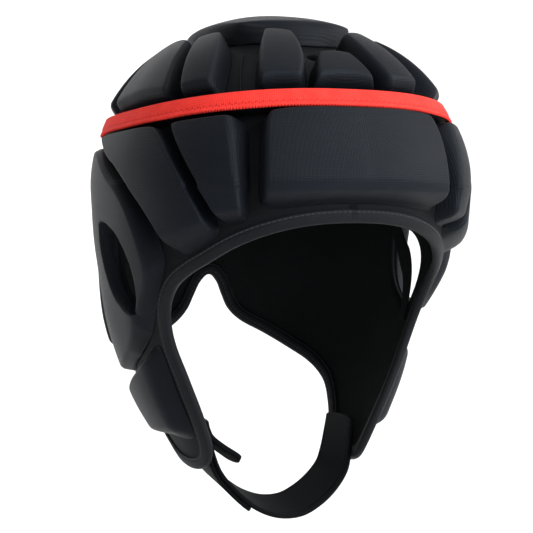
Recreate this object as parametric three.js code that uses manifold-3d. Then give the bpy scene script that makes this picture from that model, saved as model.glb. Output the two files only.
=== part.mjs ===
import * as THREE from "three";
import Module from "manifold-3d";

// Millimetres. The wearer faces -Y, their left is +X and up is +Z.
// The origin is the crown point of the shell's inner face, where the head touches.

// Head form: the outer face of the shell
const HALF_WIDTH = 84;
const FRONT_REACH = 92;
const BACK_REACH = 96;
const CROWN_DEPTH = 80;
const WALL_DEPTH = 136;
const CROWN_ROUNDNESS = 2.03;
const PLAN_ROUNDNESS = 2.4;
const CROWN_SHIFT = 10;

// Fabric, foam and fits
const SHELL_THICKNESS = 2.5;
const FIT = 0.6;
const BINDING_FIT = 0.6;
const BINDING_WIDTH = 6;
const BINDING_THICKNESS = 1.1;
const TAPE_WIDTH = 9;
const TAPE_THICKNESS = 1.5;
const BED_WIDTH = 6.6;
const BED_HEIGHT = 7.4;
const STRAP_WIDTH = 28;
const STRAP_THICKNESS = 2.6;
const PATCH_THICKNESS = 2;
const BRIDGE_WIDTH = 8;
const BRIDGE_THICKNESS = 1.4;

// Depth of one level of the chart, for widths given in millimetres
const LEVEL_LENGTH = 136;
const DEGREES_PER_LEVEL = 92;

// Rings of the wall below the crown, at equal steps of a quarter of WALL_DEPTH
const RINGS = [
  { width: 1.0, front: 1.0, back: 1.0, shift: 0, roundness: 2.4 },
  { width: 0.985, front: 0.935, back: 0.955, shift: 2, roundness: 2.35 },
  { width: 0.925, front: 0.805, back: 0.9, shift: 11, roundness: 2.25 },
  { width: 0.795, front: 0.675, back: 0.81, shift: 12, roundness: 2.15 },
  { width: 0.6, front: 0.565, back: 0.645, shift: 10, roundness: 2.1 },
  { width: 0.42, front: 0.46, back: 0.52, shift: 9, roundness: 2.1 },
];

// Edge of the shell from the brow to the nape, one half
const EDGE = [
  { azimuth: 0, level: 1.13, crown: 0 },
  { azimuth: 13, level: 1.14, crown: 12 },
  { azimuth: 26, level: 1.17, crown: 24 },
  { azimuth: 38, level: 1.215, crown: 35 },
  { azimuth: 49, level: 1.275, crown: 45 },
  { azimuth: 57, level: 1.32, crown: 53 },
  { azimuth: 63, level: 1.37, crown: 60 },
  { azimuth: 66, level: 1.44, crown: 65 },
  { azimuth: 66.5, level: 1.52, crown: 69 },
  { azimuth: 65.5, level: 1.6, crown: 72 },
  { azimuth: 62.5, level: 1.71, crown: 75 },
  { azimuth: 61, level: 1.81, crown: 78 },
  { azimuth: 61.5, level: 1.9, crown: 81 },
  { azimuth: 64, level: 1.99, crown: 84 },
  { azimuth: 71, level: 2.05, crown: 88 },
  { azimuth: 85, level: 2.07, crown: 93 },
  { azimuth: 99, level: 2.05, crown: 98 },
  { azimuth: 108, level: 1.99, crown: 103 },
  { azimuth: 114, level: 1.89, crown: 109 },
  { azimuth: 121, level: 1.79, crown: 116 },
  { azimuth: 131, level: 1.715, crown: 126 },
  { azimuth: 143, level: 1.655, crown: 137 },
  { azimuth: 156, level: 1.59, crown: 148 },
  { azimuth: 166, level: 1.54, crown: 158 },
  { azimuth: 171.5, level: 1.49, crown: 166 },
  { azimuth: 174.5, level: 1.43, crown: 171 },
  { azimuth: 177, level: 1.37, crown: 175.5 },
  { azimuth: 180, level: 1.335, crown: 180 },
];

// Pads. Corners run upper front, upper rear, lower rear, lower front.
// Bulges push each side outward, as a share of that side's length.
// Dish is how much lower the middle of the top is than its rim.
const PADS = [
  {
    name: "front_pad", chart: "wall", height: 12, edge: 9, dish: 1.5,
    corners: [[-29.5, 0.742], [29.5, 0.742], [31, 1.1], [-31, 1.1]],
    bulges: [0.02, 0, -0.06, 0],
  },
  {
    name: "temple_pad", chart: "wall", height: 11, edge: 8, dish: 0,
    corners: [[35.5, 0.757], [63, 0.783], [40.5, 1.145], [34.5, 1.12]],
    bulges: [0, 0, 0, 0],
  },
  {
    name: "side_pad", chart: "wall", height: 11, edge: 8, dish: 0,
    corners: [[68, 0.789], [103, 0.817], [59.5, 1.245], [43, 1.165]],
    bulges: [0, -0.05, 0, 0.02],
  },
  {
    name: "cheek_pad", chart: "wall", height: 8, edge: 8, dish: 0,
    corners: [[72.5, 1.58], [112, 1.765], [103.5, 1.945], [69.5, 1.95]],
    bulges: [-0.03, 0, 0, 0.02],
  },
  {
    name: "back_pad", chart: "wall", height: 11, edge: 9, dish: 0,
    corners: [[122.5, 0.83], [174.5, 0.83], [172.5, 1.15], [122.5, 1.2]],
    bulges: [0, 0, 0, 0],
  },
  {
    name: "nape_pad", chart: "wall", height: 10, edge: 9, dish: 0,
    corners: [[122.5, 1.255], [172, 1.205], [169.5, 1.38], [123.5, 1.655]],
    bulges: [0, 0, 0.08, 0.02],
  },
  {
    name: "crown_front_pad", chart: "crown", height: 11, edge: 7, dish: 0,
    corners: [[-5, 0.475], [5, 0.475], [11, 0.656], [-11, 0.656]],
    bulges: [0.1, 0.04, -0.06, 0.04],
  },
  {
    name: "crown_inner_pad", chart: "crown", height: 11.5, edge: 7, dish: 0,
    corners: [[13, 0.35], [31, 0.325], [31, 0.667], [14, 0.658]],
    bulges: [0.05, 0.02, -0.04, 0.1],
  },
  {
    name: "crown_side_pad", chart: "crown", height: 11.5, edge: 7, dish: 0,
    corners: [[56, 0.34], [75, 0.375], [62.5, 0.695], [46.5, 0.68]],
    bulges: [0.06, 0.04, -0.04, 0.05],
  },
  {
    name: "crown_rear_side_pad", chart: "crown", height: 11, edge: 7, dish: 0,
    corners: [[84, 0.36], [106, 0.36], [101, 0.73], [66.5, 0.7]],
    bulges: [0.06, 0.02, 0.02, 0],
  },
  {
    name: "crown_back_side_pad", chart: "crown", height: 11, edge: 7, dish: 0,
    corners: [[115, 0.375], [141, 0.375], [137, 0.743], [105.5, 0.73]],
    bulges: [0.05, 0, 0.03, 0.02],
  },
  {
    name: "crown_back_pad", chart: "crown", height: 11, edge: 7, dish: 0,
    corners: [[150, 0.35], [174.5, 0.345], [177.6, 0.743], [141.5, 0.743]],
    bulges: [0, 0, 0.02, 0],
  },
  {
    name: "crown_top_pad", chart: "crown", height: 11.5, edge: 8, dish: 0.5,
    corners: [[-57, 0.285], [57, 0.285], [122, 0.34], [-122, 0.34]],
    bulges: [0.3, 0.12, 0.18, 0.12],
  },
];

// Pads with one of each on both sides of the cap
const PAIRED = new Set([
  "temple_pad", "side_pad", "cheek_pad", "back_pad", "nape_pad", "crown_inner_pad",
  "crown_side_pad", "crown_rear_side_pad", "crown_back_side_pad", "crown_back_pad",
]);

// Ear pad: outer outline, and the leaf-shaped ear opening inside it
const EAR_PAD = { height: 10, edge: 8, dish: 0 };
const EAR_OUTLINE = {
  corners: [[117, 0.835], [67, 1.27], [75, 1.535], [115, 1.7]],
  bulges: [0.09, 0, 0.04, 0.01],
};
const EAR_LEAF = { top: [97, 1.13], bottom: [80.5, 1.47], halfWidth: 11 };
const EAR_STEPS = 28;

// Small vent on the crown, between the front and top pads
const VENT = { level: 0.405, halfLength: 4.5, halfWidth: 5.5 };

// Chin strap centre line from inside the left flap to inside the right one
const STRAP_PATH = [
  { x: 45.6, y: 4, z: -185.5 },
  { x: 44.4, y: 3, z: -197.5 },
  { x: 42.3, y: 2, z: -209.5 },
  { x: 39.6, y: 0, z: -219.5 },
  { x: 35.5, y: -3, z: -227.5 },
  { x: 27, y: -7, z: -235 },
  { x: 17, y: -10, z: -241 },
  { x: 6, y: -12, z: -245 },
  { x: -6, y: -12, z: -245 },
  { x: -17, y: -10, z: -241 },
  { x: -26, y: -7, z: -234 },
  { x: -33.5, y: -3, z: -225.5 },
  { x: -37.2, y: 0, z: -217 },
  { x: -39.6, y: 2, z: -207.5 },
  { x: -41.4, y: 3, z: -197.5 },
];
const PATCH_PATH_START = 9;
const TAB_PATH = [
  { x: -37.9, y: 2, z: -200.5 },
  { x: -36.4, y: 1, z: -207.5 },
  { x: -31, y: -1, z: -213 },
  { x: -25, y: -3, z: -217.5 },
  { x: -20, y: -4.5, z: -221 },
];
const TAB_WIDTH = 12;

const LOOKS = {
  fabric: { color: 0x14161a, roughness: 0.82, metalness: 0 },
  lining: { color: 0x0b0c0e, roughness: 0.9, metalness: 0 },
  binding: { color: 0x1f2125, roughness: 0.75, metalness: 0 },
  tape: { color: 0xe8403b, roughness: 0.7, metalness: 0 },
};

function radians(degrees) {
  return degrees * Math.PI / 180;
}

function mix(a, b, share) {
  return a + (b - a) * share;
}

// Smooth curve through equally spaced values
function through(values, place) {
  const last = values.length - 1;
  const index = Math.min(Math.max(Math.floor(place), 0), last - 1);
  const u = place - index;
  const b = values[index];
  const c = values[index + 1];
  const a = index > 0 ? values[index - 1] : 2 * b - c;
  const d = index + 2 <= last ? values[index + 2] : 2 * c - b;
  const square = (2 * a - 5 * b + 4 * c - d) * u * u;
  const cube = (3 * b - a - 3 * c + d) * u * u * u;
  return 0.5 * (2 * b + (c - a) * u + square + cube);
}

// Ring of the head form at a level: 0 at the crown point, 1 at the widest ring
function ring(level) {
  if (level <= 1) {
    const angle = radians(90 * level);
    const spread = Math.pow(Math.sin(angle), 2 / CROWN_ROUNDNESS);
    const rise = Math.pow(Math.max(Math.cos(angle), 0), 2 / CROWN_ROUNDNESS);
    return {
      z: -CROWN_DEPTH * (1 - rise),
      width: HALF_WIDTH * spread,
      front: FRONT_REACH * spread,
      back: BACK_REACH * spread,
      shift: CROWN_SHIFT * (1 - level),
      roundness: PLAN_ROUNDNESS,
    };
  }
  const place = (level - 1) * 4;
  const value = (key) => through(RINGS.map((row) => row[key]), place);
  return {
    z: -CROWN_DEPTH - WALL_DEPTH * (level - 1),
    width: HALF_WIDTH * value("width"),
    front: FRONT_REACH * value("front"),
    back: BACK_REACH * value("back"),
    shift: value("shift"),
    roundness: value("roundness"),
  };
}

// Point of the head form; azimuth is 0 at the front and +90 at the wearer's left
function formPoint(azimuth, level) {
  const at = ring(level);
  const side = Math.sin(radians(azimuth));
  const ahead = Math.cos(radians(azimuth));
  const power = 2 / at.roundness;
  const reach = ahead > 0 ? at.front : at.back;
  return new THREE.Vector3(
    at.width * Math.sign(side) * Math.pow(Math.abs(side), power),
    at.shift - CROWN_SHIFT - reach * Math.sign(ahead) * Math.pow(Math.abs(ahead), power),
    at.z + SHELL_THICKNESS,
  );
}

function formNormal(azimuth, level) {
  const place = Math.max(level, 0.02);
  const across = formPoint(azimuth + 0.4, place).sub(formPoint(azimuth - 0.4, place));
  const down = formPoint(azimuth, place + 0.004).sub(formPoint(azimuth, place - 0.004));
  return down.cross(across).normalize();
}

// Point at a distance outside (positive) or inside the shell's outer face
function offsetPoint(azimuth, level, distance) {
  return formPoint(azimuth, level).addScaledVector(formNormal(azimuth, level), distance);
}

// Change of azimuth and level that moves one millimetre in a direction along the form
function chartStep(azimuth, level, direction) {
  const small = 0.01;
  const a = formPoint(azimuth + 1, level).sub(formPoint(azimuth - 1, level)).divideScalar(2);
  const b = formPoint(azimuth, level + small).sub(formPoint(azimuth, level - small));
  b.divideScalar(2 * small);
  const [aa, ab, bb] = [a.dot(a), a.dot(b), b.dot(b)];
  const [ad, bd] = [a.dot(direction), b.dot(direction)];
  const whole = aa * bb - ab * ab;
  return [(ad * bb - bd * ab) / whole, (bd * aa - ad * ab) / whole];
}

// Closed mesh from points and quads, turned so that its faces look outward
function closedMesh(name, look, points, faces) {
  const triangles = [];
  for (const face of faces) {
    for (let k = 1; k < face.length - 1; k += 1) {
      triangles.push([face[0], face[k], face[k + 1]]);
    }
  }
  let volume = 0;
  for (const [a, b, c] of triangles) {
    volume += points[a].dot(points[b].clone().cross(points[c]));
  }
  if (volume < 0) {
    triangles.forEach((triangle) => triangle.reverse());
  }
  const geometry = new THREE.BufferGeometry();
  const flat = points.flatMap((point) => [point.x, point.y, point.z]);
  geometry.setAttribute("position", new THREE.Float32BufferAttribute(flat, 3));
  geometry.setIndex(triangles.flat());
  return namedMesh(name, look, geometry);
}

function namedMesh(name, look, geometry) {
  geometry.computeVertexNormals();
  const mesh = new THREE.Mesh(geometry, new THREE.MeshStandardMaterial(LOOKS[look]));
  mesh.name = name;
  return mesh;
}

// Chart of a pad: plane coordinates in which its sides are drawn
function toChart(chart, [azimuth, level]) {
  if (chart === "wall") {
    return [azimuth / DEGREES_PER_LEVEL, level];
  }
  return [level * Math.sin(radians(azimuth)), level * Math.cos(radians(azimuth))];
}

function fromChart(chart, [p, q]) {
  if (chart === "wall") {
    return [p * DEGREES_PER_LEVEL, q];
  }
  return [Math.atan2(p, q) * 180 / Math.PI, Math.hypot(p, q)];
}

// One side of a pad's outline, bowed away from the pad's middle
function sidePoint(from, to, middle, bulge, share) {
  const across = [to[1] - from[1], from[0] - to[0]];
  const out = [(from[0] + to[0]) / 2 - middle[0], (from[1] + to[1]) / 2 - middle[1]];
  const turn = across[0] * out[0] + across[1] * out[1] < 0 ? -1 : 1;
  const push = turn * bulge * 4 * share * (1 - share);
  return [
    mix(from[0], to[0], share) + across[0] * push,
    mix(from[1], to[1], share) + across[1] * push,
  ];
}

// Patch through the four sides; u runs front to rear and v top to bottom, each 0 to 1
function patchPoint(outline, chart, u, v) {
  const [a, b, c, d] = outline.corners.map((corner) => toChart(chart, corner));
  const middle = [(a[0] + b[0] + c[0] + d[0]) / 4, (a[1] + b[1] + c[1] + d[1]) / 4];
  const [upper, rear, lower, front] = outline.bulges;
  const top = sidePoint(a, b, middle, upper, u);
  const bottom = sidePoint(d, c, middle, lower, u);
  const left = sidePoint(a, d, middle, front, v);
  const right = sidePoint(b, c, middle, rear, v);
  const at = (k) => {
    const sides = mix(top[k], bottom[k], v) + mix(left[k], right[k], u);
    return sides - mix(mix(a[k], b[k], u), mix(d[k], c[k], u), v);
  };
  return fromChart(chart, [at(0), at(1)]);
}

// Rounds the corners of the square that a pad's patch is drawn on
function roundedSquare(u, v) {
  const cut = 0.09;
  const x = 2 * u - 1;
  const y = 2 * v - 1;
  return [
    0.5 + 0.5 * x * (1 - cut * Math.pow(Math.abs(y), 6)),
    0.5 + 0.5 * y * (1 - cut * Math.pow(Math.abs(x), 6)),
  ];
}

// Rim of a pad: distance in from the outline as a share of the edge, and rise
const RIM = [
  { inset: 0, rise: 0 },
  { inset: 0.22, rise: 0.66 },
  { inset: 0.9, rise: 1 },
];
const LINE_SPACING = 14;

// Stations across a pad with a rim at both ends
function stations(length, edge) {
  const lines = Math.max(Math.round(length / LINE_SPACING) - 1, 1);
  const list = RIM.map((row) => ({ share: row.inset * edge / length, rise: row.rise }));
  const start = list[list.length - 1].share;
  for (let k = 1; k <= lines; k += 1) {
    list.push({ share: mix(start, 1 - start, k / (lines + 1)), rise: 1 });
  }
  for (let k = RIM.length - 1; k >= 0; k -= 1) {
    list.push({ share: 1 - RIM[k].inset * edge / length, rise: RIM[k].rise });
  }
  return list;
}

function chartLength(pad, from, to) {
  const a = formPoint(...patchPoint(pad, pad.chart, from[0], from[1]));
  const b = formPoint(...patchPoint(pad, pad.chart, to[0], to[1]));
  return a.distanceTo(b);
}

function padMesh(pad, name, mirror) {
  const along = stations(chartLength(pad, [0, 0.5], [1, 0.5]), pad.edge);
  const down = stations(chartLength(pad, [0.5, 0], [0.5, 1]), pad.edge);
  const points = [];
  const top = along.map(() => []);
  const under = along.map(() => []);
  along.forEach((column, i) => down.forEach((row, j) => {
    const [u, v] = roundedSquare(column.share, row.share);
    const [azimuth, level] = patchPoint(pad, pad.chart, u, v);
    const reach = Math.max(Math.abs(2 * u - 1), Math.abs(2 * v - 1));
    const height = pad.height - pad.dish * (1 - reach * reach);
    const rise = Math.min(column.rise, row.rise);
    top[i][j] = points.push(offsetPoint(azimuth * mirror, level, FIT + height * rise)) - 1;
    under[i][j] = top[i][j];
    if (rise > 0) {
      under[i][j] = points.push(offsetPoint(azimuth * mirror, level, FIT)) - 1;
    }
  }));
  const faces = [];
  for (let i = 0; i < along.length - 1; i += 1) {
    for (let j = 0; j < down.length - 1; j += 1) {
      faces.push([top[i][j], top[i][j + 1], top[i + 1][j + 1], top[i + 1][j]]);
      faces.push([under[i][j], under[i + 1][j], under[i + 1][j + 1], under[i][j + 1]]);
    }
  }
  return closedMesh(name, "fabric", points, faces);
}

// Closed outline of the ear pad, by share of the way round
function earOutlinePoint(share) {
  const side = Math.floor(share * 4) % 4;
  const along = share * 4 - Math.floor(share * 4);
  const square = [[along, 0], [1, along], [1 - along, 1], [0, 1 - along]][side];
  return toChart("wall", patchPoint(EAR_OUTLINE, "wall", ...roundedSquare(...square)));
}

// Leaf-shaped outline of the ear opening, grown by a margin in millimetres
function leafPoint(share, margin) {
  const [top, bottom] = [toChart("wall", EAR_LEAF.top), toChart("wall", EAR_LEAF.bottom)];
  const axis = [bottom[0] - top[0], bottom[1] - top[1]];
  const length = Math.hypot(...axis);
  const angle = radians(360 * share - 135);
  const along = Math.cos(angle) * (length / 2 + margin / LEVEL_LENGTH);
  const wide = (EAR_LEAF.halfWidth + margin) / LEVEL_LENGTH;
  const across = Math.sin(angle) * Math.abs(Math.sin(angle)) ** 0.35 * wide;
  const unit = [axis[0] / length, axis[1] / length];
  return [
    (top[0] + bottom[0]) / 2 + unit[0] * along + unit[1] * across,
    (top[1] + bottom[1]) / 2 + unit[1] * along - unit[0] * across,
  ];
}

// Ear pad as a ring of foam between its outline and the ear opening
function earPadMesh(name, mirror) {
  const rings = [
    { share: 0, rise: 0 }, { share: 0.08, rise: 0.66 }, { share: 0.32, rise: 1 },
    { share: 0.68, rise: 1 }, { share: 0.92, rise: 0.66 }, { share: 1, rise: 0 },
  ];
  const points = [];
  const top = rings.map(() => []);
  const under = rings.map(() => []);
  rings.forEach((row, i) => {
    for (let j = 0; j < EAR_STEPS; j += 1) {
      const outer = earOutlinePoint(j / EAR_STEPS);
      const inner = leafPoint(j / EAR_STEPS, 0);
      const chart = [mix(outer[0], inner[0], row.share), mix(outer[1], inner[1], row.share)];
      const [azimuth, level] = fromChart("wall", chart);
      const height = FIT + EAR_PAD.height * row.rise;
      top[i][j] = points.push(offsetPoint(azimuth * mirror, level, height)) - 1;
      under[i][j] = top[i][j];
      if (row.rise > 0) {
        under[i][j] = points.push(offsetPoint(azimuth * mirror, level, FIT)) - 1;
      }
    }
  });
  const faces = [];
  for (let i = 0; i < rings.length - 1; i += 1) {
    for (let j = 0; j < EAR_STEPS; j += 1) {
      const k = (j + 1) % EAR_STEPS;
      faces.push([top[i][j], top[i][k], top[i + 1][k], top[i + 1][j]]);
      faces.push([under[i][j], under[i + 1][j], under[i + 1][k], under[i][k]]);
    }
  }
  return closedMesh(name, "fabric", points, faces);
}

// Full edge loop of the shell, left half then right half
function edgeLoop() {
  const right = EDGE.slice(1, -1).reverse().map((row) => ({
    azimuth: -row.azimuth, level: row.level, crown: -row.crown,
  }));
  return [...EDGE, ...right];
}

// Shell: rows from the crown to the edge, outer face and inner face joined at the rim
function shellSolid() {
  const rows = 12;
  const loop = edgeLoop();
  const points = [offsetPoint(0, 0, 0), offsetPoint(0, 0, -SHELL_THICKNESS)];
  const faces = [];
  const index = (row, column, inner) => {
    const around = (column + loop.length) % loop.length;
    return 2 + ((row - 1) * loop.length + around) * 2 + inner;
  };
  for (let row = 1; row <= rows; row += 1) {
    for (const edge of loop) {
      const share = 1 - (1 - row / rows) ** 1.25;
      const azimuth = mix(edge.crown, edge.azimuth, share ** 5);
      points.push(offsetPoint(azimuth, edge.level * share, 0));
      points.push(offsetPoint(azimuth, edge.level * share, -SHELL_THICKNESS));
    }
  }
  for (let column = 0; column < loop.length; column += 1) {
    faces.push([0, index(1, column, 0), index(1, column + 1, 0)]);
    faces.push([1, index(1, column + 1, 1), index(1, column, 1)]);
    for (let row = 1; row < rows; row += 1) {
      const [a, b] = [index(row, column, 0), index(row, column + 1, 0)];
      const [c, d] = [index(row + 1, column + 1, 0), index(row + 1, column, 0)];
      faces.push([a, d, c, b]);
      faces.push([a + 1, b + 1, c + 1, d + 1]);
    }
    const [e, f] = [index(rows, column, 0), index(rows, column + 1, 0)];
    faces.push([e, e + 1, f + 1, f]);
  }
  return closedMesh("shell", "lining", points, faces);
}

// Prism through the shell with an outline given on the chart
function throughPrism(outline, chart, mirror) {
  const points = [];
  const count = outline.length;
  for (const [p, q] of outline) {
    const [azimuth, level] = fromChart(chart, [p, q]);
    points.push(offsetPoint(azimuth * mirror, level, -SHELL_THICKNESS - 4));
    points.push(offsetPoint(azimuth * mirror, level, 4));
  }
  const faces = [];
  for (let k = 0; k < count; k += 1) {
    const n = (k + 1) % count;
    faces.push([2 * k, 2 * n, 2 * n + 1, 2 * k + 1]);
  }
  faces.push([...Array(count).keys()].map((k) => 2 * k).reverse());
  faces.push([...Array(count).keys()].map((k) => 2 * k + 1));
  return closedMesh("prism", "lining", points, faces);
}

function ventOutline() {
  return [...Array(12).keys()].map((k) => {
    const angle = radians(30 * k);
    const across = Math.sin(angle) * VENT.halfWidth / LEVEL_LENGTH;
    return [across, VENT.level + Math.cos(angle) * VENT.halfLength / LEVEL_LENGTH];
  });
}

function leafOutline(margin) {
  return [...Array(20).keys()].map((k) => leafPoint(k / 20, margin));
}

// Strip across the ear opening, on the inner face of the shell
function bridgeMesh(name, mirror) {
  const [top, bottom] = [toChart("wall", EAR_LEAF.top), toChart("wall", EAR_LEAF.bottom)];
  const sections = [];
  for (let k = 0; k <= 8; k += 1) {
    const share = mix(-0.16, 1.16, k / 8);
    const middle = [mix(top[0], bottom[0], share), mix(top[1], bottom[1], share)];
    const half = BRIDGE_WIDTH / 2 / LEVEL_LENGTH;
    const near = -SHELL_THICKNESS - FIT;
    const far = near - BRIDGE_THICKNESS;
    sections.push([[-half, near], [half, near], [half, far], [-half, far]].map(([p, depth]) => {
      const [azimuth, level] = fromChart("wall", [middle[0] + p, middle[1]]);
      return offsetPoint(azimuth * mirror, level, depth);
    }));
  }
  return sweptMesh(name, "lining", sections, false);
}

// Solid through a list of sections with equal point counts
function sweptMesh(name, look, sections, closed) {
  const size = sections[0].length;
  const points = sections.flat();
  const faces = [];
  const spans = closed ? sections.length : sections.length - 1;
  for (let i = 0; i < spans; i += 1) {
    const a = i * size;
    const b = ((i + 1) % sections.length) * size;
    for (let j = 0; j < size; j += 1) {
      const k = (j + 1) % size;
      faces.push([a + j, a + k, b + k, b + j]);
    }
  }
  if (!closed) {
    const last = (sections.length - 1) * size;
    faces.push([...Array(size).keys()].reverse());
    faces.push([...Array(size).keys()].map((k) => last + k));
  }
  return closedMesh(name, look, points, faces);
}

// Binding: a folded strip over the edge, with both flanks along the shell's faces
function bindingMesh() {
  const loop = edgeLoop();
  const deep = -SHELL_THICKNESS - BINDING_FIT - BINDING_THICKNESS;
  const out = BINDING_FIT + BINDING_THICKNESS;
  const section = [
    [BINDING_WIDTH, BINDING_FIT], [BINDING_WIDTH - 0.5, out], [-BINDING_FIT, out],
    [-out, -SHELL_THICKNESS / 2],
    [-BINDING_FIT, deep], [BINDING_WIDTH - 0.5, deep], [BINDING_WIDTH, deep + BINDING_THICKNESS],
    [-BINDING_FIT, deep + BINDING_THICKNESS], [-BINDING_FIT, BINDING_FIT],
  ];
  const sections = loop.map((edge, k) => {
    const before = loop[(k + loop.length - 1) % loop.length];
    const after = loop[(k + 1) % loop.length];
    const ahead = formPoint(after.azimuth, after.level);
    ahead.sub(formPoint(before.azimuth, before.level)).normalize();
    const normal = formNormal(edge.azimuth, edge.level);
    const inward = normal.clone().cross(ahead).normalize();
    const step = chartStep(edge.azimuth, edge.level, inward);
    return section.map(([width, height]) => {
      const place = [edge.azimuth + step[0] * width, edge.level + step[1] * width];
      return offsetPoint(place[0], place[1], height);
    });
  });
  return sweptMesh("face_binding", "binding", sections, true);
}

// Level of the tape's middle, lower at the back than at the brow
function tapeLevel(azimuth) {
  const turn = (1 - Math.cos(radians(azimuth))) / 2;
  return 0.7 + 0.178 * turn - 0.09 * turn * turn;
}

function hoopMesh(name, look, width, low, high) {
  const half = width / 2 / LEVEL_LENGTH;
  const sections = [];
  for (let k = 0; k < 72; k += 1) {
    const azimuth = 5 * k;
    const middle = tapeLevel(azimuth);
    sections.push([[-half, low], [-half, high], [half, high], [half, low]].map(([level, height]) => {
      return offsetPoint(azimuth, middle + level, height);
    }));
  }
  return sweptMesh(name, look, sections, true);
}

// Flat strap along a path in the wearer's front plane, its width running front to back
function strapMesh(name, look, path, options) {
  const sections = path.map((at, k) => {
    const before = path[Math.max(k - 1, 0)];
    const after = path[Math.min(k + 1, path.length - 1)];
    const along = new THREE.Vector3(after.x - before.x, 0, after.z - before.z).normalize();
    const outward = new THREE.Vector3(-along.z, 0, along.x);
    const centre = new THREE.Vector3(at.x, at.y, at.z).addScaledVector(outward, options.shift);
    const end = k === 0 || k === path.length - 1 ? options.endShare : 1;
    const half = options.width / 2 * end;
    const thick = options.thickness / 2;
    const corners = [[-half, -thick], [half, -thick], [half, thick], [-half, thick]];
    return corners.map(([y, depth]) => {
      const point = centre.clone().addScaledVector(outward, depth);
      point.y += y;
      return point;
    });
  });
  return sweptMesh(name, look, sections, false);
}

// Cuts tools out of a mesh and returns the mesh with the same name and look
function cutMesh(wasm, body, look, tools) {
  const solid = (mesh) => {
    const vertProperties = Float32Array.from(mesh.geometry.getAttribute("position").array);
    const triVerts = Uint32Array.from(mesh.geometry.getIndex().array);
    return new wasm.Manifold(new wasm.Mesh({ numProp: 3, vertProperties, triVerts }));
  };
  const result = tools.reduce((left, tool) => left.subtract(solid(tool)), solid(body)).getMesh();
  const geometry = new THREE.BufferGeometry();
  const positions = new THREE.Float32BufferAttribute(result.vertProperties, 3);
  geometry.setAttribute("position", positions);
  geometry.setIndex(Array.from(result.triVerts));
  return namedMesh(body.name, look, geometry);
}

const wasm = await Module();
wasm.setup();

const cap = new THREE.Group();
cap.name = "rugby_scrum_cap";

const cutters = [
  throughPrism(leafOutline(0.6), "wall", 1),
  throughPrism(leafOutline(0.6), "wall", -1),
  throughPrism(ventOutline(), "crown", 1),
];
cap.add(cutMesh(wasm, shellSolid(), "lining", cutters));
cap.add(bindingMesh());
cap.add(hoopMesh("tape_bed", "fabric", BED_WIDTH, FIT, BED_HEIGHT));
const tapeLow = BED_HEIGHT + FIT;
cap.add(hoopMesh("tape_band", "tape", TAPE_WIDTH, tapeLow, tapeLow + TAPE_THICKNESS));
for (const pad of PADS) {
  if (PAIRED.has(pad.name)) {
    cap.add(padMesh(pad, pad.name + "_L", 1));
    cap.add(padMesh(pad, pad.name + "_R", -1));
  } else {
    cap.add(padMesh(pad, pad.name, 1));
  }
}
cap.add(earPadMesh("ear_pad_L", 1));
cap.add(earPadMesh("ear_pad_R", -1));
cap.add(bridgeMesh("ear_bridge_L", 1));
cap.add(bridgeMesh("ear_bridge_R", -1));
cap.add(strapMesh("chin_strap", "fabric", STRAP_PATH, {
  width: STRAP_WIDTH, thickness: STRAP_THICKNESS, shift: 0, endShare: 0.9,
}));
cap.add(strapMesh("strap_patch", "fabric", STRAP_PATH.slice(PATCH_PATH_START), {
  width: STRAP_WIDTH,
  thickness: PATCH_THICKNESS,
  shift: (STRAP_THICKNESS + PATCH_THICKNESS) / 2 + FIT,
  endShare: 0.9,
}));
cap.add(strapMesh("strap_tab", "fabric", TAB_PATH, {
  width: TAB_WIDTH, thickness: 2.4, shift: 0, endShare: 0.6,
}));

export default cap;
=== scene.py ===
import math

import bpy
import numpy as np
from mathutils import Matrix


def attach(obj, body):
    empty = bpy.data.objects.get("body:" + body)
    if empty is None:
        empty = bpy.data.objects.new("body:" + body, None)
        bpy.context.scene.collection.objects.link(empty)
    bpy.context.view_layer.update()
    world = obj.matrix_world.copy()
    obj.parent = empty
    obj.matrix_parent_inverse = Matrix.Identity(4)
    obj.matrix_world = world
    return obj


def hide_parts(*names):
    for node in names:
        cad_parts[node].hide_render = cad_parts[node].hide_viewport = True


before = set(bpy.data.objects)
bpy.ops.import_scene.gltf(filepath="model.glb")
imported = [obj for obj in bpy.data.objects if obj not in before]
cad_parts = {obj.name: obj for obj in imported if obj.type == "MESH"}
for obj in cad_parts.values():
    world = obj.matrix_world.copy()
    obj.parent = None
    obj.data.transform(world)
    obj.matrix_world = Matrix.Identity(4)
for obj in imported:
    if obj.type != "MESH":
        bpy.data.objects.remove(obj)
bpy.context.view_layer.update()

# Shell
# The body of the cap is one knitted cloth cap that hugs the head and shows as the floors of
# the grooves. Its two faces meet at the edge, and the ear openings and the crown vent are cut
# through both.
HALF_WIDTH = 84.0
FRONT_REACH = 92.0
BACK_REACH = 96.0
CROWN_DEPTH = 80.0
WALL_DEPTH = 136.0
CROWN_ROUNDNESS = 2.03
PLAN_ROUNDNESS = 2.4
CROWN_SHIFT = 10.0
SHELL_THICKNESS = 2.5
LEVEL_LENGTH = 136.0
DEGREES_PER_LEVEL = 92.0
# Columns: width, front, back, shift, roundness
RINGS = np.array([
    [1.0, 1.0, 1.0, 0.0, 2.4],
    [0.985, 0.935, 0.955, 2.0, 2.35],
    [0.925, 0.805, 0.9, 11.0, 2.25],
    [0.795, 0.675, 0.81, 12.0, 2.15],
    [0.6, 0.565, 0.645, 10.0, 2.1],
    [0.42, 0.46, 0.52, 9.0, 2.1],
])


def mix(a, b, share):
    """a at share 0 and b at share 1, straight between."""
    return a + (b - a) * share


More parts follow.
